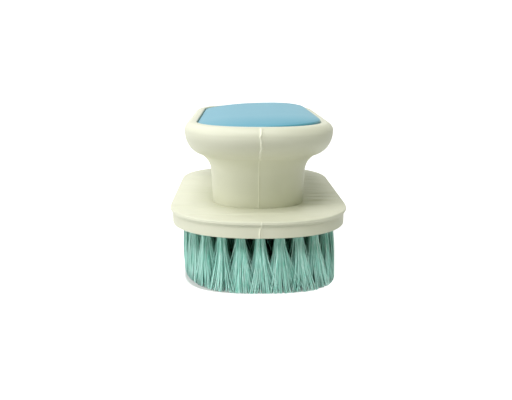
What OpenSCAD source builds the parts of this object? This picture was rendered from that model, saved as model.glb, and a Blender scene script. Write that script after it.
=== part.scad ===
// Palm brush: a hollow mushroom handle, closed above by a palm pad and below by a tufted block.
// It stands on its bristle tips. X runs across the brush, Y along it with the front at -Y, Z up.

/* [Base plate] */
// Width of the plate
plate_w = 66; // [62:1:76]
// Length of the plate
plate_l = 115.2; // [110:0.2:128]
// Length of the plate's rounded end
plate_end = 31; // [26:0.5:33]
// Thickness of the plate at its lip
lip_t = 1.9; // [1.8:0.1:3]
// Radius of the lip's top edge
lip_edge_r = 0.4; // [0.2:0.1:0.4]
// Height of the cove under the lip's edge
cove_h = 1.3; // [0.8:0.1:1.3]

/* [Neck] */
// Width of the neck where it meets the plate
neck_w = 34.7; // [30:0.1:38]
// Length of the neck where it meets the plate
neck_l = 73.4; // [66:0.2:80]
// Length of the neck's rounded end
neck_end = 15.7; // [13.5:0.1:17]
// How much the neck widens on each side before it flares
neck_draft = 0.6; // [0:0.1:1]
// Height of the neck up to its flare
neck_h = 11.6; // [8:0.1:16]
// Radius of the flare under the head
flare_r = 8; // [5:0.1:9]

/* [Head] */
// Width of the head
head_w = 54.2; // [52:0.2:60]
// Length of the head
head_l = 111.6; // [104:0.2:120]
// Length of the head's rounded end
head_end = 26.9; // [24:0.1:27]
// Height of the head from its crease to its widest line
bowl_h = 9.6; // [8:0.1:12]
// Height of the head from its widest line to its rim
rim_h = 3; // [2.4:0.1:5]
// How far the rim's rounded shoulder reaches inwards
shoulder = 3.2; // [2:0.1:3.6]
// Width of the rim around the pad
rim_w = 4.5; // [4:0.1:5.4]
// Thickness of the handle's walls
wall_t = 2.8; // [2:0.1:3.2]

/* [Palm pad] */
// Depth of the recess that holds the pad
recess_d = 3.2; // [2.6:0.1:3.6]
// How far the pad's edge lies below the rim
pad_drop = 0.5; // [0.2:0.1:1]
// Height of the pad's crown above its edge
crown = 2.6; // [0.5:0.1:4]
// Gap around the pad
pad_gap = 0.3; // [0.2:0.05:0.5]
// Width of the ledge that the pad sits on
ledge_w = 2.4; // [1.8:0.1:3]
// Depth of the snap rim under the pad
snap_h = 3.4; // [3.2:0.1:4]
// Thickness of the snap rim
snap_t = 1.4; // [1:0.1:2]

/* [Bristle block] */
// Height of the skirt below the lip
skirt_h = 4.1; // [3.6:0.1:5]
// How far the skirt is set in from the lip
skirt_in = 0.8; // [0.5:0.1:2]
// Height of the island that locates the block in the plate
island_h = 0.7; // [0.4:0.1:0.8]
// How far the island is set in from the skirt
island_in = 2.2; // [1.5:0.1:3]
// Gap around the island
island_gap = 0.15; // [0.1:0.05:0.3]

/* [Tufts] */
// Length of the bristles below the block
bristle_l = 19.4; // [14:0.2:26]
// Least distance between tufts in a loop
tuft_pitch = 6.7; // [6.6:0.1:8]
// Distance between loops of tufts
loop_gap = 7.4; // [7:0.1:8]
// Distance from the skirt's edge to the outer loop
tuft_in = 5.4; // [4:0.1:6]
// Diameter of a tuft hole
hole_d = 3.4; // [3:0.1:4]
// Material left above a tuft hole
hole_cap = 1; // [0.8:0.1:1.4]
// Gap between a tuft and its hole
tuft_gap = 0.08; // [0.04:0.01:0.15]
// Diameter of a tuft at its tip
tip_d = 6.2; // [4:0.1:6.4]
// Thickness of the anchor wire
wire_t = 0.4; // [0.3:0.05:0.6]
// Height of the anchor wire
wire_h = 1.4; // [1:0.1:1.8]
// How far the anchor wire bites into the block on each side
wire_bite = 0.35; // [0.2:0.05:0.5]
// Thickness of the filaments folded over the wire
fold_t = 0.6; // [0.4:0.1:0.8]

/* [Hidden] */
LOOPS = ["outer", "second", "third", "inner"];
QUARTERS = ["front_right", "back_right", "back_left", "front_left"];
TUFTS = [for (loop = LOOPS) [for (quarter = QUARTERS) str("tufts_", loop, "_", quarter)]];
ANCHORS = [for (loop = LOOPS) [for (quarter = QUARTERS) str("anchors_", loop, "_", quarter)]];

// The rounded ends are a little squarer than an ellipse, whose power is 2.
end_power = 2.3;
// The flare and the bowl meet in a crease, after this much turn of each from upright.
flare_turn = 63;
bowl_turn = 67.5;
// The hollow's floor stands this far above the plate.
neck_floor = 1;
// The bead of the snap rim and its groove: depth, height of their flat and of each slope
bead = 0.4;
bead_h = 0.6;
// Small rounds on the inner rim and the pad's edge
soft_r = 0.5;
// How flat the pad's crown is before it falls to its edge
crown_power = 3;
// A tuft's profile from tip to root: share of the spread, at a share of the bristles' length
tuft_profile = [[0.82, 0.25], [0.48, 0.55], [0.14, 0.85]];
// How far a cutter runs past the face that it opens
cut_past = 1;

// Steps around a quarter of an outline, along a large curve and along a small one
around = 14;
block_around = 22;
curve = 7;
small_curve = 3;

// Every outline is a long oval with straight sides, held as half width, half length and end length.
plate = [plate_w / 2, plate_l / 2, plate_end];
neck = [neck_w / 2, neck_l / 2, neck_end];
head = [head_w / 2, head_l / 2, head_end];
flare = inset(neck, -neck_draft);
crease = inset(flare, -flare_r * (1 - cos(flare_turn)));
recess = inset(head, rim_w);
pad = inset(recess, pad_gap);
well = inset(recess, ledge_w);
snap = inset(well, pad_gap);
skirt = inset(plate, skirt_in);
island = inset(skirt, island_in);

// Heights above the ground
skirt_z = bristle_l;
lip_z = skirt_z + skirt_h;
plate_z = lip_z + lip_t;
flare_z = plate_z + neck_h;
crease_z = flare_z + flare_r * sin(flare_turn);
belly_z = crease_z + bowl_h;
rim_z = belly_z + rim_h;
seat_z = rim_z - recess_d;
pad_z = rim_z - pad_drop;
island_z = lip_z + island_h;
hole_z = island_z - hole_cap;
wire_z = hole_z - fold_t - wire_h;
floor_z = plate_z + neck_floor;

function inset(o, d) = [o[0] - d, o[1] - d, o[2] - d];
function mix(a, b, share) = a + (b - a) * share;
function within(o, limit) = [for (i = [0:2]) min(o[i], limit[i])];
function turn(steps, from, to) = [for (i = [0:steps]) from + (to - from) * i / steps];

// A point of the rounded end, from the tip at 0 degrees to the start of the straight side at 90
function end_point(o, a) = [
    o[0] * pow(sin(a), 2 / end_power),
    o[1] - o[2] + o[2] * pow(cos(a), 2 / end_power)
];

// The whole outline, from the middle of the front round by the right side
function outline(o, steps) =
    let (q = [for (a = turn(steps, 0, 90)) end_point(o, a)])
    concat(
        [for (i = [0:steps]) [q[i][0], -q[i][1]]],
        [for (i = [steps:-1:0]) [q[i][0], q[i][1]]],
        [for (i = [1:steps]) [-q[i][0], q[i][1]]],
        [for (i = [steps:-1:1]) [-q[i][0], -q[i][1]]]
    );

// A closed skin through rings, each of which is an outline and its height
module skin(rings) {
    count = 4 * around + 2;
    points = [for (r = rings) for (p = outline(r[0], around)) [p[0], p[1], r[1]]];
    last = (len(rings) - 1) * count;
    sides = [
        for (r = [0:len(rings) - 2], i = [0:count - 1])
            let (a = r * count + i, b = r * count + (i + 1) % count)
            each [[a, a + count, b + count], [a, b + count, b]]
    ];
    polyhedron(points, concat(
        [[for (i = [0:count - 1]) i]],
        [[for (i = [count - 1:-1:0]) last + i]],
        sides
    ));
}

module prism(o, bottom, top) {
    translate([0, 0, bottom]) linear_extrude(top - bottom) polygon(outline(o, block_around));
}

// The handle is a deep cup. Its skin starts under the plate, climbs the outside and comes down inside.
plate_rings = [
    [inset(island, -island_gap), island_z],
    [inset(island, -island_gap), lip_z],
    for (a = turn(small_curve, 0, 90)) [inset(plate, skirt_in * cos(a)), lip_z + cove_h * sin(a)],
    for (a = turn(small_curve, 0, 90))
        [inset(plate, lip_edge_r * (1 - cos(a))), plate_z - lip_edge_r * (1 - sin(a))]
];
neck_rings = [
    [neck, plate_z],
    for (a = turn(curve, 0, flare_turn))
        [mix(flare, crease, (1 - cos(a)) / (1 - cos(flare_turn))), flare_z + flare_r * sin(a)]
];
// A ring of the bowl after a turn from upright at the widest line
function bowl_ring(a) = [
    mix(head, crease, (1 - cos(a)) / (1 - cos(bowl_turn))),
    belly_z - bowl_h * sin(a) / sin(bowl_turn)
];
bowl_rings = [for (i = [1:curve]) bowl_ring(bowl_turn * (1 - i / curve))];
rim_rings = [
    for (i = [1:curve])
        let (a = 90 * i / curve)
        [inset(head, shoulder * (1 - cos(a))), belly_z + rim_h * sin(a)],
    for (a = turn(small_curve, 0, 90))
        [inset(recess, soft_r * (sin(a) - 1)), rim_z - soft_r * (1 - cos(a))]
];
// Inside, the wall keeps its thickness behind the bowl, the flare and the neck. The hollow is drawn
// upwards by its core, so it is never wider below than the well above.
core = inset(neck, wall_t);
well_low_z = seat_z - 4 * bead_h - 2 * bead;
function behind_bowl(a) =
    let (
        ring = bowl_ring(a),
        slope = [(head[1] - crease[1]) * sin(a) / (1 - cos(bowl_turn)), bowl_h * cos(a) / sin(bowl_turn)],
        wall = slope * wall_t / norm(slope)
    )
    [within(inset(ring[0], wall[1]), well), ring[1] + wall[0]];
hollow_rings = [
    [recess, seat_z],
    [well, seat_z],
    for (p = bead_profile(seat_z, bead)) [inset(well, -p[0]), p[1]],
    for (a = turn(curve, 0, bowl_turn))
        let (ring = behind_bowl(a))
        if (ring[1] < well_low_z) ring,
    for (a = turn(curve, flare_turn, 0))
        [within(inset(flare, (wall_t + flare_r) * cos(a) - flare_r), well), flare_z + (flare_r + wall_t) * sin(a)],
    [core, floor_z]
];

// The bead's outline below a seat: how far it stands out, and its height
function bead_profile(z, out) = [
    [0, z - 2 * bead_h],
    [out, z - 2 * bead_h - bead],
    [out, z - 3 * bead_h - bead],
    [0, z - 3 * bead_h - 2 * bead]
];

module handle() {
    color([0.87, 0.87, 0.77])
        skin(concat(plate_rings, neck_rings, bowl_rings, rim_rings, hollow_rings));
}

module palm_pad() {
    under = bead_profile(seat_z, bead);
    color([0.47, 0.71, 0.82]) skin([
        [inset(snap, snap_t), seat_z],
        [inset(snap, snap_t), seat_z - snap_h],
        [snap, seat_z - snap_h],
        for (i = [3:-1:0]) [inset(snap, -under[i][0]), under[i][1]],
        [snap, seat_z],
        [pad, seat_z],
        for (a = turn(small_curve, 0, 90))
            [inset(pad, soft_r * (1 - cos(a))), pad_z - soft_r * (1 - sin(a))],
        for (i = [1:curve])
            let (in = soft_r + (pad[2] - soft_r) * i / (curve + 1))
            [inset(pad, in), pad_z + crown * (1 - pow(1 - in / pad[2], crown_power))]
    ]);
}

// The tufts stand evenly along each loop. A loop's path is closed, and runs from the front centre.
function lengths(path) = [
    for (i = 0, s = 0; i <= len(path); s = s + step(path, i), i = i + 1) s
];
function step(path, i) = norm(path[(i + 1) % len(path)] - path[i % len(path)]);
function along(path, sums, s) =
    let (i = max([for (j = [0:len(path) - 1]) if (sums[j] <= s) j]))
    mix(path[i], path[(i + 1) % len(path)], (s - sums[i]) / (sums[i + 1] - sums[i]));
function loop_places(loop) =
    let (
        path = outline(inset(skirt, tuft_in + loop * loop_gap), block_around),
        sums = lengths(path),
        total = sums[len(path)],
        count = 4 * floor(total / tuft_pitch / 4)
    )
    [for (i = [0:count - 1]) along(path, sums, total * i / count)];
function quarter_places(loop, quarter) =
    let (places = loop_places(loop), share = len(places) / 4)
    [for (i = [0:share - 1]) places[quarter * share + i]];

module anchor() {
    length = hole_d + 2 * wire_bite;
    translate([-wire_t / 2, -length / 2, wire_z]) cube([wire_t, length, wire_h]);
}

// A tuft fills its hole, folds over the wire and spreads to its trimmed tip.
module tuft() {
    root_r = hole_d / 2 - tuft_gap;
    spread = tip_d / 2 - root_r;
    difference() {
        rotate_extrude($fn = 32) polygon([
            [0, 0],
            [tip_d / 2, 0],
            for (p = tuft_profile) [root_r + spread * p[0], skirt_z * p[1]],
            [root_r, skirt_z],
            [root_r, hole_z],
            [0, hole_z]
        ]);
        anchor();
    }
}

module bristle_block() {
    color([0.87, 0.87, 0.77]) difference() {
        union() {
            prism(skirt, skirt_z, lip_z);
            prism(island, lip_z, island_z);
        }
        for (loop = [0:len(LOOPS) - 1], p = loop_places(loop)) translate(p) {
            translate([0, 0, skirt_z - cut_past])
                cylinder(h = hole_z - skirt_z + cut_past, d = hole_d, $fn = 32);
            anchor();
        }
    }
}

module tuft_group(loop, quarter) {
    color([0.56, 0.85, 0.76]) for (p = quarter_places(loop, quarter)) translate(p) tuft();
}

module anchor_group(loop, quarter) {
    color([0.72, 0.72, 0.74]) for (p = quarter_places(loop, quarter)) translate(p) anchor();
}

handle();
palm_pad();
bristle_block();
for (loop = [0:len(LOOPS) - 1], quarter = [0:len(QUARTERS) - 1]) {
    tuft_group(loop, quarter);
    anchor_group(loop, quarter);
}
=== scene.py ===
# %% [markdown]
# # A palm brush
#
# This lesson dresses a palm scrubbing brush: a cream mushroom handle on an oval plate, a blue pad
# in its head, and a field of mint-green bristle tufts under it. The solids come from a frame that
# is already at real size. Every cell adds one piece or one finish around them, in metres.

import math
import random

import bpy
import bmesh
from mathutils import Matrix, Vector


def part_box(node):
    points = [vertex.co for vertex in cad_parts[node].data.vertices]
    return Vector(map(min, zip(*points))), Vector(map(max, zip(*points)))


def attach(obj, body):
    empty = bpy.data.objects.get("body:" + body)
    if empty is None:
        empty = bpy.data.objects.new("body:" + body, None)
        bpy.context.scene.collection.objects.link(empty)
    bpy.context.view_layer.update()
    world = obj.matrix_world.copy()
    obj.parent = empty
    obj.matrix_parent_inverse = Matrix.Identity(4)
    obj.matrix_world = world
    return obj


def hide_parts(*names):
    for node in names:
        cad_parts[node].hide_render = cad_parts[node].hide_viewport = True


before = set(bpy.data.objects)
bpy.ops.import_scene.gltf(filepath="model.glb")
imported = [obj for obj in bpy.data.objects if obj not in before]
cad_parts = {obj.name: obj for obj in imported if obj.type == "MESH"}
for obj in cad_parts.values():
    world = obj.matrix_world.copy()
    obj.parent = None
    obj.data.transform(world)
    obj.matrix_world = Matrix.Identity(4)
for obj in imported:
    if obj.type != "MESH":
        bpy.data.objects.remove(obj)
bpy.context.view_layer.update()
print("nodes in the frame:", len(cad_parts))

# %% [markdown]
# ## The sizes that the rest stands on
#
# The plate is the widest part of the brush, and the skirt of the bristle block hangs under it.
# Their reach is read from the frame, so the looks follow the solids. Heights and small edges are
# repeated as real sizes in the cell that first needs them, because the frame holds only finished
# meshes. Each outline is a long oval of three lengths: half its width, half its length, and the
# length of its rounded end.

# %% Plate and skirt
MM = 0.001
PLATE_END = 31 * MM
PLATE_T = 1.9 * MM
LIP_T = 2.3 * MM
SKIRT_H = 4.1 * MM
SKIRT_IN = 0.8 * MM


def inset(oval, by):
    """The same oval, smaller by one distance all round."""
    return Vector((oval[0] - by, oval[1] - by, oval[2] - by))


plate_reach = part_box("handle")[1]
plate = Vector((plate_reach[0], plate_reach[1], PLATE_END))
skirt = inset(plate, SKIRT_IN)
skirt_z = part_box("bristle_block")[0][2]
plate_z = skirt_z + SKIRT_H + PLATE_T
lip_z = plate_z - LIP_T
print("skirt, lip and plate at", ["%.1f mm" % (z / MM) for z in (skirt_z, lip_z, plate_z)])

# %% [markdown]
# ## One outline for every moulded form
#
# The handle, the pad and the skirt are all long ovals with ends a little squarer than a circle. A
# subdivided box would need many trials to get such an end, so the points come from the formula of
# a superellipse: a power of 2 gives an ellipse, and more gives a squarer end. Every oval has the
# same number of points, so that any two of them can be joined.

# %% Outlines
AROUND = 34
ALONG = 14
END_POWER = 2.3


def turn(steps, start, stop):
    """Evenly spaced values from start to stop."""
    return [start + (stop - start) * i / steps for i in range(steps + 1)]


def outline(oval):
    """Points round an oval, from the middle of its front by the right side."""
    width, length, end = oval
    quarter = []
    for a in turn(AROUND, 0, math.pi / 2):
        x = width * max(math.sin(a), 0) ** (2 / END_POWER)
        y = length - end + end * max(math.cos(a), 0) ** (2 / END_POWER)
        quarter.append((x, y))
    straight = [(width, y) for y in turn(ALONG, end - length, length - end)[1:-1]]
    right = [(x, -y) for x, y in quarter] + straight + quarter[::-1]
    left = [(-x, y) for x, y in right[::-1][1:-1]]
    return right + left


print("points round each ring:", len(outline(plate)))

# %% [markdown]
# ## Skins over stacks of rings
#
# A moulding changes its outline only slowly with height. A stack of rings gives full control of
# each fillet and crease, where a subdivision surface would round them all alike. So one helper
# turns a list of rings into a closed mesh, and each piece is only a list. Smooth shading hides
# the facets, and edges sharper than one angle stay crisp. A second helper cuts the corners of a
# list, which gives its creases a radius.

# %% Skins
CRISP_ANGLE = 32
CORNER = 0.25


def mesh_object(name, points, faces, crisp=CRISP_ANGLE):
    """A linked mesh object, smooth but for edges sharper than an angle in degrees."""
    mesh = bpy.data.meshes.new(name)
    mesh.from_pydata(points, [], faces)
    shape = bmesh.new()
    shape.from_mesh(mesh)
    bmesh.ops.recalc_face_normals(shape, faces=shape.faces)
    shape.to_mesh(mesh)
    shape.free()
    mesh.shade_smooth()
    mesh.set_sharp_from_angle(angle=math.radians(crisp))
    piece = bpy.data.objects.new(name, mesh)
    bpy.context.scene.collection.objects.link(piece)
    return piece


def bands(rows, count, start=0):
    """Four-sided faces that join each closed row of points to the next, numbered from start."""
    faces = []
    for row in range(rows - 1):
        for i in range(count):
            a = start + row * count + i
            b = start + row * count + (i + 1) % count
            faces.append([a, b, b + count, a + count])
    return faces


def skin(name, rings):
    """A closed mesh through rings of (oval, height), capped at both ends."""
    points = [(x, y, z) for oval, z in rings for x, y in outline(oval)]
    count = len(points) // len(rings)
    caps = [list(range(count))[::-1], list(range(len(points) - count, len(points)))]
    return mesh_object(name, points, caps + bands(len(rings), count))


def soften(rings, rounds):
    """Cuts the corners of a ring list, so that a moulded crease has a radius."""
    for _ in range(rounds):
        cut = [rings[0]]
        for (oval_a, z_a), (oval_b, z_b) in zip(rings, rings[1:]):
            cut.append((oval_a.lerp(oval_b, CORNER), z_a * (1 - CORNER) + z_b * CORNER))
            cut.append((oval_a.lerp(oval_b, 1 - CORNER), z_a * CORNER + z_b * (1 - CORNER)))
        rings = cut + [rings[-1]]
    return rings


print("edges stay crisp above %d degrees" % CRISP_ANGLE)

# %% [markdown]
# ## The lip of the plate and the foot of the neck
#
# On the real brush the plate, the neck and the head are one cream moulding, so their rings make
# one list, from the bottom up. A small cove leads out from the skirt to the lip, whose upper edge
# is rounded by a hair. A shallow groove runs round the foot of the neck: two pale faces that meet
# in soft light would otherwise melt into each other.

# %% Lip and foot
BEND = 5
LIP_TUCK = 2 * MM
LIP_EDGE = 0.4 * MM
COVE_H = 1.3 * MM
FOOT_GROOVE = 0.15 * MM

neck = Vector((17.35, 36.7, 15.7)) * MM

lip_rings = [(inset(plate, SKIRT_IN + LIP_TUCK), lip_z)]
for a in turn(BEND, 0, math.pi / 2):
    lip_rings.append((inset(plate, SKIRT_IN * math.cos(a)), lip_z + COVE_H * math.sin(a)))
for a in turn(BEND, 0, math.pi / 2):
    edge_z = plate_z - LIP_EDGE * (1 - math.sin(a))
    lip_rings.append((inset(plate, LIP_EDGE * (1 - math.cos(a))), edge_z))

foot_rings = [
    (inset(neck, -FOOT_GROOVE), plate_z),
    (inset(neck, FOOT_GROOVE), plate_z - FOOT_GROOVE),
    (neck, plate_z + FOOT_GROOVE / 2),
]
print("rings in the lip and the foot:", len(lip_rings) + len(foot_rings))

# %% [markdown]
# ## The waist and the head
#
# A mould that opens to the left and right lets the head overhang the neck all round. The neck
# widens a little upwards, flares out on an arc and folds into a crease, and from there the bowl
# of the head swells on a flatter arc to its widest line. The shoulder then rolls in to the rim.
# Each stretch is an arc of its own, because no single curve has the crease.

# %% Waist and head
CURVE = 10
NECK_H = 11.6 * MM
NECK_DRAFT = 0.6 * MM
FLARE_R = 8.0 * MM
FLARE_TURN = math.radians(63)
BOWL_H = 9.6 * MM
BOWL_TURN = math.radians(67.5)
SHOULDER = 3.2 * MM
RIM_H = 3.0 * MM

head = Vector((27.1, 55.8, 26.9)) * MM
flare = inset(neck, -NECK_DRAFT)
crease = inset(flare, -FLARE_R * (1 - math.cos(FLARE_TURN)))
flare_z = plate_z + NECK_H
crease_z = flare_z + FLARE_R * math.sin(FLARE_TURN)
belly_z = crease_z + BOWL_H
rim_z = belly_z + RIM_H

waist_rings = [(neck.lerp(flare, 0.5), plate_z + NECK_H / 2)]
for a in turn(CURVE, 0, FLARE_TURN):
    share = (1 - math.cos(a)) / (1 - math.cos(FLARE_TURN))
    waist_rings.append((flare.lerp(crease, share), flare_z + FLARE_R * math.sin(a)))
for a in turn(CURVE, BOWL_TURN, 0)[1:]:
    share = (1 - math.cos(a)) / (1 - math.cos(BOWL_TURN))
    bowl_z = belly_z - BOWL_H * math.sin(a) / math.sin(BOWL_TURN)
    waist_rings.append((head.lerp(crease, share), bowl_z))
for a in turn(CURVE, 0, math.pi / 2)[1:]:
    waist_rings.append((inset(head, SHOULDER * (1 - math.cos(a))), belly_z + RIM_H * math.sin(a)))
print("crease at %.1f mm, rim at %.1f mm" % (crease_z / MM, rim_z / MM))

# %% [markdown]
# ## The seat, and the whole handle
#
# The head is open at the top, with a ledge inside that carries the pad. The rim's inner edge is
# softened, since it is what the palm feels. The corners of the waist's rings are then cut twice,
# but not those of the lip, the foot and the seat, which are crisp on the real moulding.

# %% Build the handle
RIM_W = 4.5 * MM
RECESS_D = 3.2 * MM
LEDGE_W = 2.4 * MM
SOFT_R = 0.5 * MM
SOFT_ROUNDS = 2

recess = inset(head, RIM_W)
well = inset(recess, LEDGE_W)
seat_z = rim_z - RECESS_D

for a in turn(BEND, 0, math.pi / 2):
    edge_z = rim_z - SOFT_R * (1 - math.cos(a))
    waist_rings.append((inset(recess, SOFT_R * (math.sin(a) - 1)), edge_z))
waist_rings = soften(waist_rings, SOFT_ROUNDS)
seat_rings = [(recess, seat_z), (well, seat_z), (well, belly_z)]

handle = skin("handle_moulding", lip_rings + foot_rings + waist_rings + seat_rings)
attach(handle, "root")
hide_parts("handle")
print("handle faces:", len(handle.data.polygons))

# %% [markdown]
# ## The palm pad
#
# The pad is a thin blue lid, crowned a little so that it fills the palm. It drops into the recess
# and leaves a hairline gap, which shows as a dark line. The crown stays almost flat and falls
# late, so a power of three shapes it better than a circle would. This pad was pressed in a little
# askew: its crown lies right of the middle and its right side sits higher, so the gap shows only
# along its left side.

# %% Build the pad
PAD_GAP = 0.3 * MM
PAD_DROP = 0.5 * MM
CROWN = 1.8 * MM
CROWN_SHIFT = 2.0 * MM
CROWN_POWER = 3
CROWN_RINGS = 26
TILT = 0.033

pad = inset(recess, PAD_GAP)
pad_edge_z = rim_z - PAD_DROP
pad_rings = [(inset(pad, LEDGE_W), seat_z), (pad, seat_z)]
for a in turn(BEND, 0, math.pi / 2):
    edge_z = pad_edge_z - SOFT_R * (1 - math.sin(a))
    pad_rings.append((inset(pad, SOFT_R * (1 - math.cos(a))), edge_z))
for step in range(1, CROWN_RINGS + 1):
    by = SOFT_R + (pad[2] - SOFT_R) * step / (CROWN_RINGS + 1)
    rise = CROWN * (1 - (1 - by / pad[2]) ** CROWN_POWER)
    pad_rings.append((inset(pad, by), pad_edge_z + rise))

palm_pad = skin("palm_pad_lid", pad_rings)
for vertex in palm_pad.data.vertices:
    risen = max(vertex.co.z - pad_edge_z, 0) / CROWN
    vertex.co.x += CROWN_SHIFT * risen
    if vertex.co.z > seat_z:
        vertex.co.z += TILT * (vertex.co.x + pad[0])
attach(palm_pad, "root")
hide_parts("palm_pad")
print("pad crown: %.1f mm" % (CROWN / MM))

# %% [markdown]
# ## The bristle block
#
# The skirt below the lip is the side of the drilled block, and its lower edge is worn round by the
# trimming of the tufts. Drilling the block again in Blender would repeat work that the solid has
# already done. So its mesh is copied, its coplanar facets are merged, and only the lower rim of
# its outline is bevelled. Every tuft hole stays true.

# %% Build the block
SKIRT_ROUND = 0.25 * MM
ROUND_STEPS = 4
SAME_PLACE = 0.001 * MM
SAME_LEVEL = 0.01 * MM
SAME_PLANE = math.radians(0.05)
OUTLINE_SHARE = 0.97
UPRIGHT = 0.5


def on_outline(edge):
    """True for an edge at the skirt's outline. The walls of the tuft holes stand farther in."""
    x, y = (edge.verts[0].co + edge.verts[1].co).xy / 2
    past = max(abs(y) - (skirt[1] - skirt[2]), 0) / skirt[2]
    return (abs(x) / skirt[0]) ** END_POWER + past ** END_POWER > OUTLINE_SHARE


def on_lower_rim(edge):
    """True for an edge where the skirt's wall meets the flat underside."""
    low = all(abs(vertex.co.z - skirt_z) < SAME_LEVEL for vertex in edge.verts)
    walls = [face for face in edge.link_faces if abs(face.normal.z) < UPRIGHT]
    return low and len(walls) == 1 and len(edge.link_faces) == 2 and on_outline(edge)


shape = bmesh.new()
shape.from_mesh(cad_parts["bristle_block"].data)
bmesh.ops.remove_doubles(shape, verts=shape.verts, dist=SAME_PLACE)
bmesh.ops.dissolve_limit(shape, angle_limit=SAME_PLANE, verts=shape.verts, edges=shape.edges)
rim_edges = [edge for edge in shape.edges if on_lower_rim(edge)]
bmesh.ops.bevel(
    shape, geom=rim_edges, offset=SKIRT_ROUND, segments=ROUND_STEPS, profile=0.5, affect="EDGES"
)
shape.verts.index_update()
block_points = [vertex.co.copy() for vertex in shape.verts]
block_faces = [[vertex.index for vertex in face.verts] for face in shape.faces]
shape.free()

block = mesh_object("bristle_block_rounded", block_points, block_faces)
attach(block, "root")
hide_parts("bristle_block")
print("bevelled edges:", len(rim_edges))

# %% [markdown]
# ## A fin of flash
#
# Where the two halves of the mould meet, a little plastic squeezes out and sets as a thin ragged
# fin. A bump map would vanish in profile, so the fin is a real ridge. It follows a profile of the
# moulding, stands a little proud of it, and its feet are sunk into the surface. Its height and its
# path wander on a sum of three waves: one slow, one quicker and one fine.

# %% Shape a fin
FIN_SINK = 0.15 * MM
FIN_TOP = 0.3
FIN_CRISP = 60
FIN_RAGGED = 0.55
HEIGHT_START = 1.3
PATH_START = 0.4
WAVES = ((0.6, 0.9, 1), (0.3, 2.3, 2), (0.1, 7.1, 0))


def wander(z, start):
    """A smooth ragged wave of height, between -1 and 1."""
    t = z / MM
    return sum(share * math.sin(speed * t + by * start) for share, speed, by in WAVES)


def fin(name, profile, end, half, height, drift, shift):
    """A ridge along a profile of (distance from the middle, height) at one end of the brush."""
    points = []
    for y, z in profile:
        raised = height * (1 + FIN_RAGGED * wander(z, HEIGHT_START))
        x = shift + drift * wander(z, PATH_START)
        section = ((-1, -FIN_SINK), (-FIN_TOP, raised), (FIN_TOP, raised), (1, -FIN_SINK))
        points += [(x + side * half, end * (y + out), z) for side, out in section]
    count = len(points) // len(profile)
    caps = [list(range(count)), list(range(len(points) - count, len(points)))]
    piece = mesh_object(name, points, bands(len(profile), count) + caps, FIN_CRISP)
    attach(piece, "root")
    return piece


print("fin waves at", ["%.1f mm" % (2 * math.pi / speed) for _, speed, _ in WAVES])

# %% [markdown]
# ## The parting line
#
# The line runs up the middle of both ends. Its profile is taken from the same rings as the
# moulding, in steps fine enough for the waves. It is made in four stretches, because they differ
# on the real brush: the fin is highest on the head and nearly gone on the neck, and that of the
# skirt stands a little left of the lip's, as if the block came from another mould.

# %% Build the parting lines
PROFILE_STEP = 0.4 * MM
SKIRT_STEPS = 10
CREASE_REACH = 0.5 * MM
RIM_SHY = 0.3 * MM
LIP_SHY = 0.1 * MM

# half width, height, drift and shift in mm
FINS = {
    "head": (0.50, 0.42, 0.28, 0.05),
    "neck": (0.20, 0.16, 0.05, -0.20),
    "lip": (0.34, 0.34, 0.10, 0.25),
    "skirt": (0.34, 0.26, 0.08, -0.35),
}


def profile_between(rings, low, high):
    """The middle of the end of each ring between two heights, in fine steps."""
    found = [(oval[1], z) for oval, z in rings if low <= z <= high]
    fine = []
    for (y_a, z_a), (y_b, z_b) in zip(found, found[1:]):
        steps = max(1, int(math.hypot(y_b - y_a, z_b - z_a) / PROFILE_STEP))
        fine += [(y_a + (y_b - y_a) * k / steps, z_a + (z_b - z_a) * k / steps) for k in range(steps)]
    return fine + [found[-1]]


neck_top_z = crease_z - CREASE_REACH
profiles = {
    "head": profile_between(waist_rings, neck_top_z, rim_z - RIM_SHY),
    "neck": profile_between([(neck, plate_z)] + waist_rings, plate_z, neck_top_z),
    "lip": profile_between(lip_rings[1:], lip_z, plate_z),
    "skirt": [(skirt[1], z) for z in turn(SKIRT_STEPS, skirt_z + SKIRT_ROUND, lip_z - LIP_SHY)],
}
parting_lines = []
for side, end in (("front", -1), ("back", 1)):
    for stretch, sizes in FINS.items():
        name = "parting_" + stretch + "_" + side
        parting_lines.append(fin(name, profiles[stretch], end, *[size * MM for size in sizes]))
print("parting lines:", len(parting_lines))

# %% [markdown]
# ## Where the tufts stand
#
# A tuft is a bundle of nylon filaments, folded in half in its hole, that fans out towards the
# trimmed tips. The frame has each tuft as one solid, and several of them share a node. Typing
# their places again would break as soon as the block changes. So they are found: the points where
# the solids pass the block's underside are linked ring by ring, and each ring gives one middle.

# %% Find the tufts
RING_STEP = 1.2 * MM
RING_SLACK = 0.02 * MM


def tuft_places(node):
    """The middle of each tuft of a node, from the rings where its solids enter their holes."""
    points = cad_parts[node].data.vertices
    left = [point.co.xy for point in points if abs(point.co.z - skirt_z) < RING_SLACK]
    places = []
    while left:
        ring = [left.pop()]
        for point in ring:
            ring += [other for other in left if (other - point).length < RING_STEP]
            left = [other for other in left if (other - point).length >= RING_STEP]
        wide = [point.x for point in ring]
        deep = [point.y for point in ring]
        places.append(Vector(((min(wide) + max(wide)) / 2, (min(deep) + max(deep)) / 2)))
    return places


tuft_nodes = sorted(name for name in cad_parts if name.startswith("tufts_"))
print("tufts:", {name: len(tuft_places(name)) for name in tuft_nodes})

# %% [markdown]
# ## How far the tips reach
#
# A used brush doesn't keep its trim. The ends spread past their roots, while the sides stay
# upright. So each filament aims at a fan round its root, and an aim that falls outside one
# squarish oval is pulled back to it. The oval's corners are rounder on the left than on the right,
# as the tips of this brush have spread unevenly. An outer tuft has no neighbour to hold it back,
# so its fan is stretched outwards first.

# %% Hold the tips inside an oval
TIP_WIDTH = 28.4 * MM
TIP_LENGTH = 57.6 * MM
LEFT_END = (42 * MM, 2.6)
RIGHT_END = (30 * MM, 3.0)
OUTWARD = 0.5


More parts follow.
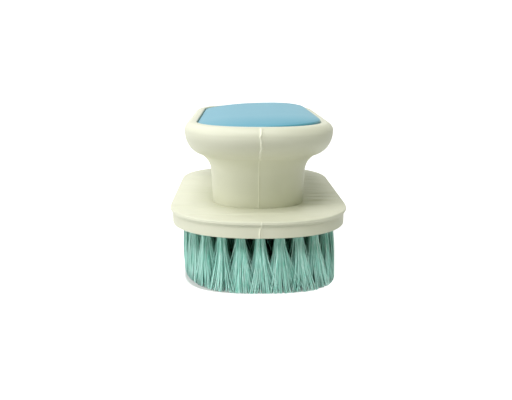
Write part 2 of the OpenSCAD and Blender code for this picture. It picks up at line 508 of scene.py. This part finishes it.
def held_inside(aim):
    """An aim pulled back towards the middle until it lies inside the oval of the tips."""
    end, power = RIGHT_END if aim.x > 0 else LEFT_END
    past = max(abs(aim.y) - (TIP_LENGTH - end), 0)
    reach = ((abs(aim.x) / TIP_WIDTH) ** power + (past / end) ** power) ** (1 / power)
    if reach <= 1:
        return aim
    y = math.copysign(abs(aim.y) - past + past / reach, aim.y)
    return Vector((aim.x / reach, y))


def pressed_out(place, fan):
    """The fan of an outer tuft reaches farther outwards, where no neighbour holds it back."""
    past = max(abs(place.y) - (plate[1] - plate[2]), 0)
    out = Vector((place.x, math.copysign(past, place.y))).normalized()
    return fan + out * max(fan.dot(out), 0) * OUTWARD


print("tips reach %.1f mm from the middle, end to end" % (TIP_LENGTH / MM))

# %% [markdown]
# ## Strands
#
# Filaments cling together. Without that, a tuft looks like a cone of noise. So a tuft is split
# into a few strands, like the slices of a cake. Those of one strand share an aim and a bow, and
# each filament strays from them only a little.

# %% Share out the strands
FULL_TURN = math.tau
STRANDS = 7
STRAND_AIM = 0.9
STRAND_BOW = (0.1, 0.6)


def polar(angle, length):
    """A plan vector of one length in one direction."""
    return Vector((math.cos(angle), math.sin(angle))) * length


def strands(chance):
    """The shared aim and bow of each strand of a tuft."""
    made = []
    for _ in range(STRANDS):
        aim = polar(chance.uniform(0, FULL_TURN), chance.uniform(0, STRAND_AIM) * MM)
        bow = polar(chance.uniform(0, FULL_TURN), chance.uniform(*STRAND_BOW) * MM)
        made.append((aim, bow))
    return made


print("strands in a tuft:", STRANDS)

# %% [markdown]
# ## The path of one filament
#
# Hair particles would look right but are lost when a model is exported, and a cone with a striped
# picture has no silhouette. So each filament gets a path of its own. The roots lie on a sunflower
# pattern, which fills the round hole evenly. The fan opens late, as the hole holds the bundle
# together at first, and all tips lean a little to the right. One in eight or so strays far.

# %% Lay out a filament
FILAMENT_R = 0.14 * MM
TUFT_ROOT = 1.45 * MM
ROOT_DEPTH = 2.2 * MM
GOLDEN = math.pi * (3 - math.sqrt(5))
LEVELS = (0, 0.16, 0.34, 0.54, 0.76, 1)
FLARE_LATE = 1.4
TIP_SPREAD = 5.3 * MM
LEAN = 0.5 * MM
END_LEAN = 3.4 * MM
END_FROM = 0.6
STRAY_SHARE = 0.13
STRAY_SPREAD = 10.0 * MM
STRAY_LEAN = 2.0 * MM
STRAY_SWING = 0.8
CLING = 0.7
FAN_SWING = 0.2
FAN_REACH = (0.75, 1.08)
OWN_BOW = 0.3
TIP_CLEAR = 0.4
TIP_RAGGED = 0.2


def filament(place, index, count, shared, chance):
    """The path of one filament from inside its hole to its tip."""
    angle = index * GOLDEN
    share = math.sqrt((index + 0.5) / count)
    root = place + polar(angle, TUFT_ROOT * share)
    strand = int(angle / FULL_TURN * STRANDS) % STRANDS
    aim, bow = shared[strand]
    middle = (strand + 0.5) * FULL_TURN / STRANDS
    swing = (angle - middle + math.pi) % FULL_TURN - math.pi
    spread = TIP_SPREAD
    lean = LEAN
    if chance.random() < STRAY_SHARE:
        spread = STRAY_SPREAD
        lean = STRAY_LEAN
        swing += chance.uniform(-STRAY_SWING, STRAY_SWING)
    heading = middle + CLING * swing + chance.uniform(-FAN_SWING, FAN_SWING)
    fan = polar(heading, spread * share * chance.uniform(*FAN_REACH))
    past_middle = max(abs(place.y) / plate[1] - END_FROM, 0) / (1 - END_FROM)
    ends = Vector((lean, math.copysign(END_LEAN * past_middle, place.y)))
    tip = held_inside(place + pressed_out(place, fan) + ends + aim)
    own_bow = bow + polar(chance.uniform(0, FULL_TURN), chance.uniform(0, OWN_BOW) * MM)
    tip_z = FILAMENT_R * TIP_CLEAR + chance.uniform(0, TIP_RAGGED) * MM
    path = [(root, skirt_z + ROOT_DEPTH)]
    for level in LEVELS:
        at = root.lerp(tip, level ** FLARE_LATE) + own_bow * math.sin(math.pi * level)
        path.append((at, skirt_z + (tip_z - skirt_z) * level))
    return path


print("filament: %.2f mm thick, %d points long" % (2 * FILAMENT_R / MM, len(LEVELS) + 1))

# %% [markdown]
# ## The bristles
#
# Each path becomes a thin tube. Three sides are enough for a thread that is hardly a pixel wide,
# and keep ten thousand of them light. The outer loop of tufts is seen from close by and gets the
# most filaments, and the hidden inner loops get fewer. All tubes of a node are one mesh, which
# stands for that node's solids.

# %% Grow the filaments
SIDES = 3
FILAMENT_CRISP = 100
FILAMENTS = {"outer": 124, "second": 90, "third": 60, "inner": 46}


def tube(path, twist, start):
    """The points and faces of a closed tube along a path, numbered from start."""
    points = []
    for at, z in path:
        for side in range(SIDES):
            a = twist + FULL_TURN * side / SIDES
            points.append((at.x + FILAMENT_R * math.cos(a), at.y + FILAMENT_R * math.sin(a), z))
    last = start + SIDES * (len(path) - 1)
    caps = [list(range(start, start + SIDES)), list(range(last, last + SIDES))[::-1]]
    return points, bands(len(path), SIDES, start) + caps


def grow(node):
    """All the filaments of a node as one mesh of thin tubes."""
    chance = random.Random(node)
    count = FILAMENTS[node.split("_")[1]]
    points, faces = [], []
    for place in tuft_places(node):
        shared = strands(chance)
        for index in range(count):
            path = filament(place, index, count, shared, chance)
            more_points, more_faces = tube(path, chance.uniform(0, math.pi), len(points))
            points += more_points
            faces += more_faces
    return mesh_object(node.replace("tufts", "filaments"), points, faces, FILAMENT_CRISP)


bundles = []
for node in tuft_nodes:
    bundle = grow(node)
    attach(bundle, "root")
    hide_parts(node)
    bundles.append(bundle)
print("filament faces:", sum(len(bundle.data.polygons) for bundle in bundles))

# %% [markdown]
# ## The grain of the mould
#
# Both plastics carry a fine grain, from the texture of the steel mould. More than one material
# needs it, so it is a node group, built once and placed in each with its own values. A noise in
# object coordinates stays fixed to the piece. A group puts out only values, and the shader stays
# in the material, where the exporter can read it.

# %% Grain group
GRAIN_DETAIL = 2


def new_group(name, inputs, outputs):
    """An empty shader group with named sockets."""
    group = bpy.data.node_groups.new(name, "ShaderNodeTree")
    for title, kind, value in inputs:
        socket = group.interface.new_socket(name=title, in_out="INPUT", socket_type=kind)
        socket.default_value = value
    for title, kind in outputs:
        group.interface.new_socket(name=title, in_out="OUTPUT", socket_type=kind)
    return group, group.nodes.new("NodeGroupInput"), group.nodes.new("NodeGroupOutput")


def math_node(tree, operation, *values):
    """The result of a math node whose inputs are sockets or numbers."""
    made = tree.nodes.new("ShaderNodeMath")
    made.operation = operation
    for socket, value in zip(made.inputs, values):
        if isinstance(value, (int, float)):
            socket.default_value = value
        else:
            tree.links.new(value, socket)
    return made.outputs[0]


grain, grain_in, grain_out = new_group(
    "mould_grain",
    [("Scale", "NodeSocketFloat", 2400.0), ("Amount", "NodeSocketFloat", 0.5)],
    [("Height", "NodeSocketFloat")],
)
coordinates = grain.nodes.new("ShaderNodeTexCoord")
noise = grain.nodes.new("ShaderNodeTexNoise")
noise.inputs["Detail"].default_value = GRAIN_DETAIL
grain.links.new(coordinates.outputs["Object"], noise.inputs["Vector"])
grain.links.new(grain_in.outputs["Scale"], noise.inputs["Scale"])
lift = math_node(grain, "MULTIPLY", noise.outputs["Fac"], grain_in.outputs["Amount"])
grain.links.new(lift, grain_out.inputs["Height"])
print("group:", grain.name)

# %% [markdown]
# ## A slow drift of tone
#
# No moulding is one even colour. A second group blends a light and a dark tone on a slow noise.
# Its Stretch input makes the patches long in one direction, which gives a filament its streaks
# along its length, and its Contrast input spreads the noise about its middle.

# %% Tone group
TONE_DETAIL = 3
MIDDLE = 0.5

# a Mix node has A, B and Result once for each kind of value; these are the colour ones
COLOUR_A = 6
COLOUR_B = 7
COLOUR_RESULT = 2

tone_group, tone_in, tone_out = new_group(
    "tone_drift",
    [
        ("Light", "NodeSocketColor", (1, 1, 1, 1)),
        ("Dark", "NodeSocketColor", (0.9, 0.9, 0.9, 1)),
        ("Scale", "NodeSocketFloat", 40.0),
        ("Stretch", "NodeSocketVector", (1, 1, 1)),
        ("Contrast", "NodeSocketFloat", 1.0),
    ],
    [("Color", "NodeSocketColor"), ("Mask", "NodeSocketFloat")],
)
coordinates = tone_group.nodes.new("ShaderNodeTexCoord")
stretched = tone_group.nodes.new("ShaderNodeVectorMath")
stretched.operation = "MULTIPLY"
noise = tone_group.nodes.new("ShaderNodeTexNoise")
noise.inputs["Detail"].default_value = TONE_DETAIL
blend = tone_group.nodes.new("ShaderNodeMix")
blend.data_type = "RGBA"
tone_group.links.new(coordinates.outputs["Object"], stretched.inputs[0])
tone_group.links.new(tone_in.outputs["Stretch"], stretched.inputs[1])
tone_group.links.new(stretched.outputs[0], noise.inputs["Vector"])
tone_group.links.new(tone_in.outputs["Scale"], noise.inputs["Scale"])
centred = math_node(tone_group, "SUBTRACT", noise.outputs["Fac"], MIDDLE)
stronger = math_node(tone_group, "MULTIPLY", centred, tone_in.outputs["Contrast"])
mask = math_node(tone_group, "ADD", stronger, MIDDLE)
tone_group.links.new(mask, blend.inputs["Factor"])
tone_group.links.new(tone_in.outputs["Light"], blend.inputs[COLOUR_A])
tone_group.links.new(tone_in.outputs["Dark"], blend.inputs[COLOUR_B])
tone_group.links.new(blend.outputs[COLOUR_RESULT], tone_out.inputs["Color"])
tone_group.links.new(mask, tone_out.inputs["Mask"])
print("group:", tone_group.name)

# %% [markdown]
# ## A base for each plastic
#
# Each plastic starts the same way: a Principled shader, tone from one group, and grain from the
# other through a Bump node. What differs is left to arguments. Colours are written as a screen
# shows them, and turned into the linear values that shaders use.

# %% Plastic helper
BUMP_DEPTH = 0.02 * MM


def srgb(red, green, blue):
    """A colour from 0 to 255, as seen on a screen, in the linear values that shaders use."""
    def linear(value):
        value /= 255
        return value / 12.92 if value <= 0.04045 else ((value + 0.055) / 1.055) ** 2.4
    return (linear(red), linear(green), linear(blue), 1)


def add_tone(tree, light, dark, scale):
    """Places the tone group in a material."""
    tone = tree.nodes.new("ShaderNodeGroup")
    tone.name = "tone"
    tone.node_tree = tone_group
    tone.inputs["Light"].default_value = light
    tone.inputs["Dark"].default_value = dark
    tone.inputs["Scale"].default_value = scale
    tree.links.new(tone.outputs["Color"], tree.nodes["Principled BSDF"].inputs["Base Color"])
    return tone


def plastic(name, light, dark, tone_scale, roughness, grain_scale, grain_amount, bump):
    """A moulded plastic, with its groups and its Bump node under the names tone, grain and bump."""
    material = bpy.data.materials.new(name)
    material.use_nodes = True
    tree = material.node_tree
    shader = tree.nodes["Principled BSDF"]
    shader.inputs["Roughness"].default_value = roughness
    add_tone(tree, light, dark, tone_scale)
    texture = tree.nodes.new("ShaderNodeGroup")
    texture.name = "grain"
    texture.node_tree = grain
    texture.inputs["Scale"].default_value = grain_scale
    texture.inputs["Amount"].default_value = grain_amount
    raised = tree.nodes.new("ShaderNodeBump")
    raised.name = "bump"
    raised.inputs["Strength"].default_value = bump
    raised.inputs["Distance"].default_value = BUMP_DEPTH
    tree.links.new(texture.outputs["Height"], raised.inputs["Height"])
    tree.links.new(raised.outputs["Normal"], shader.inputs["Normal"])
    return material


print("bump depth: %.2f mm" % (BUMP_DEPTH / MM))

# %% [markdown]
# ## Cream, blue and flash
#
# The cream moulding is satin and a little yellow, and the blue lid is a touch glossier. Both
# drift by only a few tones over a couple of centimetres. The flash is so thin that light passes
# into it from both sides, so it looks paler than the wall it stands on. Real scattering would cost
# much render time for such a thin line, and a paler tone does nearly the same.

# %% Moulded plastics
cream = plastic(
    "cream_moulding", light=srgb(232, 232, 214), dark=srgb(226, 227, 206), tone_scale=45,
    roughness=0.5, grain_scale=2600, grain_amount=0.6, bump=0.35,
)
blue = plastic(
    "blue_lid", light=srgb(98, 172, 195), dark=srgb(84, 162, 188), tone_scale=60,
    roughness=0.44, grain_scale=1800, grain_amount=0.5, bump=0.25,
)
flash = plastic(
    "thin_flash", light=srgb(248, 248, 232), dark=srgb(240, 240, 220), tone_scale=300,
    roughness=0.45, grain_scale=2600, grain_amount=0.6, bump=0.35,
)
print("plastics:", cream.name, blue.name, flash.name)

# %% [markdown]
# ## Nylon
#
# Drawn nylon is smooth and half clear, so a bundle is bright where it faces the light and deep between
# its filaments. A tone that is stretched along the brush's height makes each filament lighter or
# darker than the next. The inner tufts get the same nylon in a deeper mint, which is painted shade:
# little light comes back out of the real ones, and the darker colour keeps the gaps between the
# outer tufts dark.

# %% Nylons
STREAK = (1, 1, 0.12)
STREAK_CONTRAST = 1.3

mint = plastic(
    "mint_nylon", light=srgb(224, 255, 251), dark=srgb(112, 208, 190), tone_scale=1300,
    roughness=0.22, grain_scale=3000, grain_amount=0.3, bump=0.15,
)
# The inner tufts' deeper mint is painted shade, which keeps the gaps between the outer tufts dark.
deep = plastic(
    "mint_nylon_inner_painted_shade", light=srgb(190, 244, 230), dark=srgb(84, 188, 164), tone_scale=1300,
    roughness=0.3, grain_scale=3000, grain_amount=0.3, bump=0.15,
)
for nylon in (mint, deep):
    streaks = nylon.node_tree.nodes["tone"]
    streaks.inputs["Stretch"].default_value = STREAK
    streaks.inputs["Contrast"].default_value = STREAK_CONTRAST
print("nylons:", mint.name, deep.name)

# %% [markdown]
# ## Ripples on the plate
#
# The top of the plate carries faint ripples across its width, left where the plastic flowed in.
# A wave texture would be too even, so a noise is stretched across the brush and added to the
# grain. A mask keeps it to the height of the plate's top.

# %% Add the ripples
RIPPLE_BAND = 0.4 * MM
RIPPLE_SCALE = (55, 270, 55)
RIPPLE_LIFT = 150

cream_tree = cream.node_tree
coordinates = cream_tree.nodes.new("ShaderNodeTexCoord")
stretched = cream_tree.nodes.new("ShaderNodeMapping")
stretched.inputs["Scale"].default_value = RIPPLE_SCALE
noise = cream_tree.nodes.new("ShaderNodeTexNoise")
noise.inputs["Scale"].default_value = 1
noise.inputs["Detail"].default_value = GRAIN_DETAIL
split = cream_tree.nodes.new("ShaderNodeSeparateXYZ")
cream_tree.links.new(coordinates.outputs["Object"], stretched.inputs["Vector"])
cream_tree.links.new(stretched.outputs["Vector"], noise.inputs["Vector"])
cream_tree.links.new(coordinates.outputs["Object"], split.inputs["Vector"])
above = math_node(cream_tree, "SUBTRACT", split.outputs["Z"], plate_z)
away = math_node(cream_tree, "ABSOLUTE", above)
near_top = math_node(cream_tree, "LESS_THAN", away, RIPPLE_BAND)
waves = math_node(cream_tree, "MULTIPLY", noise.outputs["Fac"], near_top)
lifted = math_node(cream_tree, "MULTIPLY", waves, RIPPLE_LIFT)
height = math_node(cream_tree, "ADD", lifted, cream_tree.nodes["grain"].outputs["Height"])
cream_tree.links.new(height, cream_tree.nodes["bump"].inputs["Height"])
print("ripples lie within %.1f mm of the plate's top" % (RIPPLE_BAND / MM))

# %% [markdown]
# ## Anchor wire
#
# A flat steel wire holds each tuft at the bottom of its hole. It is drawn through a die, which
# leaves it smoother in some places than in others. The tone group's mask drives both its colour
# and its roughness, which keeps the two in step. It can be seen only when a tuft is pulled, but
# each piece has its finish.

# %% Wire
ROUGH_LEAST = 0.2
ROUGH_RANGE = 0.3

wire = bpy.data.materials.new("drawn_wire")
wire.use_nodes = True
wire_tree = wire.node_tree
wire_shader = wire_tree.nodes["Principled BSDF"]
wire_shader.inputs["Metallic"].default_value = 1
wire_tone = add_tone(wire_tree, light=srgb(205, 206, 208), dark=srgb(160, 161, 165), scale=800)
rough = math_node(wire_tree, "MULTIPLY_ADD", wire_tone.outputs["Mask"], ROUGH_RANGE, ROUGH_LEAST)
wire_tree.links.new(rough, wire_shader.inputs["Roughness"])
print("wire shares the tone group:", wire_tone.node_tree.name)

# %% [markdown]
# ## Putting the finishes on
#
# A new piece takes one material in its mesh. The anchors are solids of the frame, whose meshes
# stay as they are, so only the material in their slots is changed.

# %% Put the finishes on
def dress(piece, material):
    """Gives a piece one material."""
    piece.data.materials.clear()
    piece.data.materials.append(material)


finishes = [(handle, cream), (block, cream), (palm_pad, blue)]
finishes += [(ridge, flash) for ridge in parting_lines]
# The inner tufts take the deeper mint, a painted shade.
finishes += [(bundle, mint if "outer" in bundle.name else deep) for bundle in bundles]
for piece, material in finishes:
    dress(piece, material)
for name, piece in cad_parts.items():
    if name.startswith("anchors_"):
        for material_slot in piece.material_slots:
            material_slot.material = wire
print("dressed pieces:", len(finishes))

# %% [markdown]
# ## The floor
#
# The brush stands on a seamless sweep of paper, which runs up behind it on a curve and so has no
# horizon. It is a plain strip of faces along a profile, and it isn't part of the brush.

# %% Build the floor
FLOOR_HALF = 3.2
FLOOR_FRONT = 1.6
FLOOR_BACK = 0.9
SWEEP_R = 0.5
SWEEP_STEPS = 12
SWEEP_TOP = 1.8

sweep_profile = [(-FLOOR_FRONT, 0)]
for a in turn(SWEEP_STEPS, 0, math.pi / 2):
    sweep_profile.append((FLOOR_BACK + SWEEP_R * math.sin(a), SWEEP_R * (1 - math.cos(a))))
sweep_profile.append((FLOOR_BACK + SWEEP_R, SWEEP_TOP))
floor_points, floor_faces = [], []
for y, z in sweep_profile:
    floor_points += [(-FLOOR_HALF, y, z), (FLOOR_HALF, y, z)]
for i in range(len(sweep_profile) - 1):
    floor_faces.append([2 * i, 2 * i + 1, 2 * i + 3, 2 * i + 2])
floor_mesh = bpy.data.meshes.new("floor")
floor_mesh.from_pydata(floor_points, [], floor_faces)
floor_mesh.shade_smooth()
floor = bpy.data.objects.new("floor", floor_mesh)
bpy.context.scene.collection.objects.link(floor)
print("sweep:", len(sweep_profile), "rows")

# %% [markdown]
# ## White paper
#
# Under lamps that suit the brush, white paper renders grey, and more light would bleach the cream.
# So the paper also glows, but only for rays that look at it: from the camera, off a gloss or
# through a clear thing. The brush gets no more light from the glow than its gloss mirrors, and the
# shadow still shows. Under the tips the glow fades out, as no white is seen there between real
# bristles: the fade is painted shade in the shape of the tips' oval, and the dark inside it is the
# floor's real shadow. The paper is one-sided, so that a view from below shows the brush and not
# the back of the floor.

# %% Paper
PAPER_GREY = (0.6, 0.6, 0.6, 1)
PAPER_ROUGH = 0.8
PAPER_GLOSS = 0.1
PAPER_GLOW = 0.86
FADE_FROM = 0.88
FADE_TO = 1.02


def looked_at(tree):
    """1 for a ray that the camera sends, directly, off a gloss or through a clear thing; else 0."""
    path = tree.nodes.new("ShaderNodeLightPath")
    direct = math_node(tree, "MAXIMUM", path.outputs["Is Camera Ray"], path.outputs["Is Glossy Ray"])
    return math_node(tree, "MAXIMUM", direct, path.outputs["Is Transmission Ray"])


def clear_of_tips(tree):
    """0 on the paper inside the oval of the tips, and 1 outside it."""
    end, power = RIGHT_END
    place = tree.nodes.new("ShaderNodeTexCoord")
    axes = tree.nodes.new("ShaderNodeSeparateXYZ")
    tree.links.new(place.outputs["Object"], axes.inputs[0])
    across = math_node(tree, "DIVIDE", math_node(tree, "ABSOLUTE", axes.outputs["X"]), TIP_WIDTH)
    beyond = math_node(tree, "ABSOLUTE", axes.outputs["Y"])
    beyond = math_node(tree, "SUBTRACT", beyond, TIP_LENGTH - end)
    beyond = math_node(tree, "DIVIDE", math_node(tree, "MAXIMUM", beyond, 0), end)
    across = math_node(tree, "POWER", across, power)
    beyond = math_node(tree, "POWER", beyond, power)
    fade = tree.nodes.new("ShaderNodeMapRange")
    fade.inputs["From Min"].default_value = FADE_FROM
    fade.inputs["From Max"].default_value = FADE_TO
    tree.links.new(math_node(tree, "ADD", across, beyond), fade.inputs["Value"])
    return fade.outputs["Result"]


paper = bpy.data.materials.new("paper_sweep")
paper.use_nodes = True
paper_tree = paper.node_tree
paper_shader = paper_tree.nodes["Principled BSDF"]
paper_shader.inputs["Base Color"].default_value = PAPER_GREY
paper_shader.inputs["Roughness"].default_value = PAPER_ROUGH
paper_shader.inputs["Specular IOR Level"].default_value = PAPER_GLOSS
glow = paper_tree.nodes.new("ShaderNodeEmission")
strength = math_node(paper_tree, "MULTIPLY", looked_at(paper_tree), PAPER_GLOW)
# The glow fades inside the oval of the tips: painted shade beneath the bristles, over the floor's real
# shadow.
strength = math_node(paper_tree, "MULTIPLY", strength, clear_of_tips(paper_tree))
paper_tree.links.new(strength, glow.inputs["Strength"])
together = paper_tree.nodes.new("ShaderNodeAddShader")
paper_tree.links.new(paper_shader.outputs[0], together.inputs[0])
paper_tree.links.new(glow.outputs[0], together.inputs[1])
facing = paper_tree.nodes.new("ShaderNodeNewGeometry")
clear = paper_tree.nodes.new("ShaderNodeBsdfTransparent")
one_sided = paper_tree.nodes.new("ShaderNodeMixShader")
paper_tree.links.new(facing.outputs["Backfacing"], one_sided.inputs[0])
paper_tree.links.new(together.outputs[0], one_sided.inputs[1])
paper_tree.links.new(clear.outputs[0], one_sided.inputs[2])
paper_tree.links.new(one_sided.outputs[0], paper_tree.nodes["Material Output"].inputs["Surface"])
dress(floor, paper)
print("paper glow: %.2f" % PAPER_GLOW)

# %% [markdown]
# ## Lamps
#
# Three wide lamps light the brush, as softboxes do in a studio. The strongest stands high in front
# and lights the pad, the rim and the top of the plate. One low on the left shapes the neck and the
# sides, which fall off to the right. A fainter, cooler one behind on the left opens the far
# shoulder. Their powers were found by rendering each lamp alone and solving for the mix that comes
# closest on named spots of the brush, and the last one was then lowered.

# %% Lamps
LAMP_SIZE = 0.5
LAMP_AIM = Vector((0, 0, 0.03))

# name: place in metres, power in watts, colour
LAMPS = {
    "front_high": ((-0.18, -0.58, 0.98), 7.4, (1, 0.985, 1)),
    "left_low": ((-1.05, -0.30, 0.30), 4.3, (1, 1, 1)),
    "left_back": ((-0.55, 0.55, 0.85), 2.8, (0.92, 0.92, 1)),
}

for name, (place, power, colour) in LAMPS.items():
    lamp = bpy.data.lights.new(name, "AREA")
    lamp.size = LAMP_SIZE
    lamp.energy = power
    lamp.color = colour
    light = bpy.data.objects.new(name, lamp)
    light.location = place
    light.rotation_euler = (LAMP_AIM - Vector(place)).to_track_quat("-Z", "Y").to_euler()
    bpy.context.scene.collection.objects.link(light)
print("lamps:", len(LAMPS))

# %% [markdown]
# ## The room
#
# Light that bounces round a room reaches the dark side from everywhere. Here it is a faint, even
# world, tinted warm green, which is the cast of the shadows on the cream. A ray that looks past
# the floor sees plain white instead, by the same test as the paper's.

# %% World
ROOM_TINT = (0.93, 1, 0.76, 1)
ROOM_LEVEL = 0.3

world = bpy.data.worlds.new("studio")
bpy.context.scene.world = world
world.use_nodes = True
world_tree = world.node_tree
room = world_tree.nodes["Background"]
room.inputs["Color"].default_value = ROOM_TINT
room.inputs["Strength"].default_value = ROOM_LEVEL
white = world_tree.nodes.new("ShaderNodeBackground")
white.inputs["Color"].default_value = (1, 1, 1, 1)
choose = world_tree.nodes.new("ShaderNodeMixShader")
world_tree.links.new(looked_at(world_tree), choose.inputs[0])
world_tree.links.new(room.outputs[0], choose.inputs[1])
world_tree.links.new(white.outputs[0], choose.inputs[2])
world_tree.links.new(choose.outputs[0], world_tree.nodes["World Output"].inputs["Surface"])
bpy.context.scene.view_settings.view_transform = "Standard"
print("room level: %.1f" % ROOM_LEVEL)

# %% [markdown]
# ## Camera
#
# The camera stands in front of one end, a little left of the middle and some five centimetres
# above the plate, and looks slightly down. Its place and lens came from fitting the brush's
# outlines to the picture's perspective. The lens is set from a focal length in pixels, which is
# what such a fit gives.

# %% Camera
EYE = Vector((-7.6, -270.7, 79.3)) * MM
PITCH = math.radians(12.24)
YAW = math.radians(1.59)
ROLL = math.radians(-0.23)
FOCAL_PX = 656.6
FRAME_PX = 512
SENSOR_MM = 36
NEAR_CLIP = 0.01

forward = Vector((
    math.sin(YAW) * math.cos(PITCH), math.cos(YAW) * math.cos(PITCH), -math.sin(PITCH)
))
right = Vector((math.cos(YAW), -math.sin(YAW), 0))
up = right.cross(forward)
tilted_right = right * math.cos(ROLL) - up * math.sin(ROLL)
tilted_up = right * math.sin(ROLL) + up * math.cos(ROLL)
lens = bpy.data.cameras.new("camera")
lens.sensor_width = SENSOR_MM
lens.lens = SENSOR_MM * FOCAL_PX / FRAME_PX
lens.clip_start = NEAR_CLIP
camera = bpy.data.objects.new("camera", lens)
turned = Matrix((tilted_right, tilted_up, -forward)).transposed().to_4x4()
camera.matrix_world = Matrix.Translation(EYE) @ turned
bpy.context.scene.collection.objects.link(camera)
bpy.context.scene.camera = camera
print("lens: %.1f mm" % lens.lens)
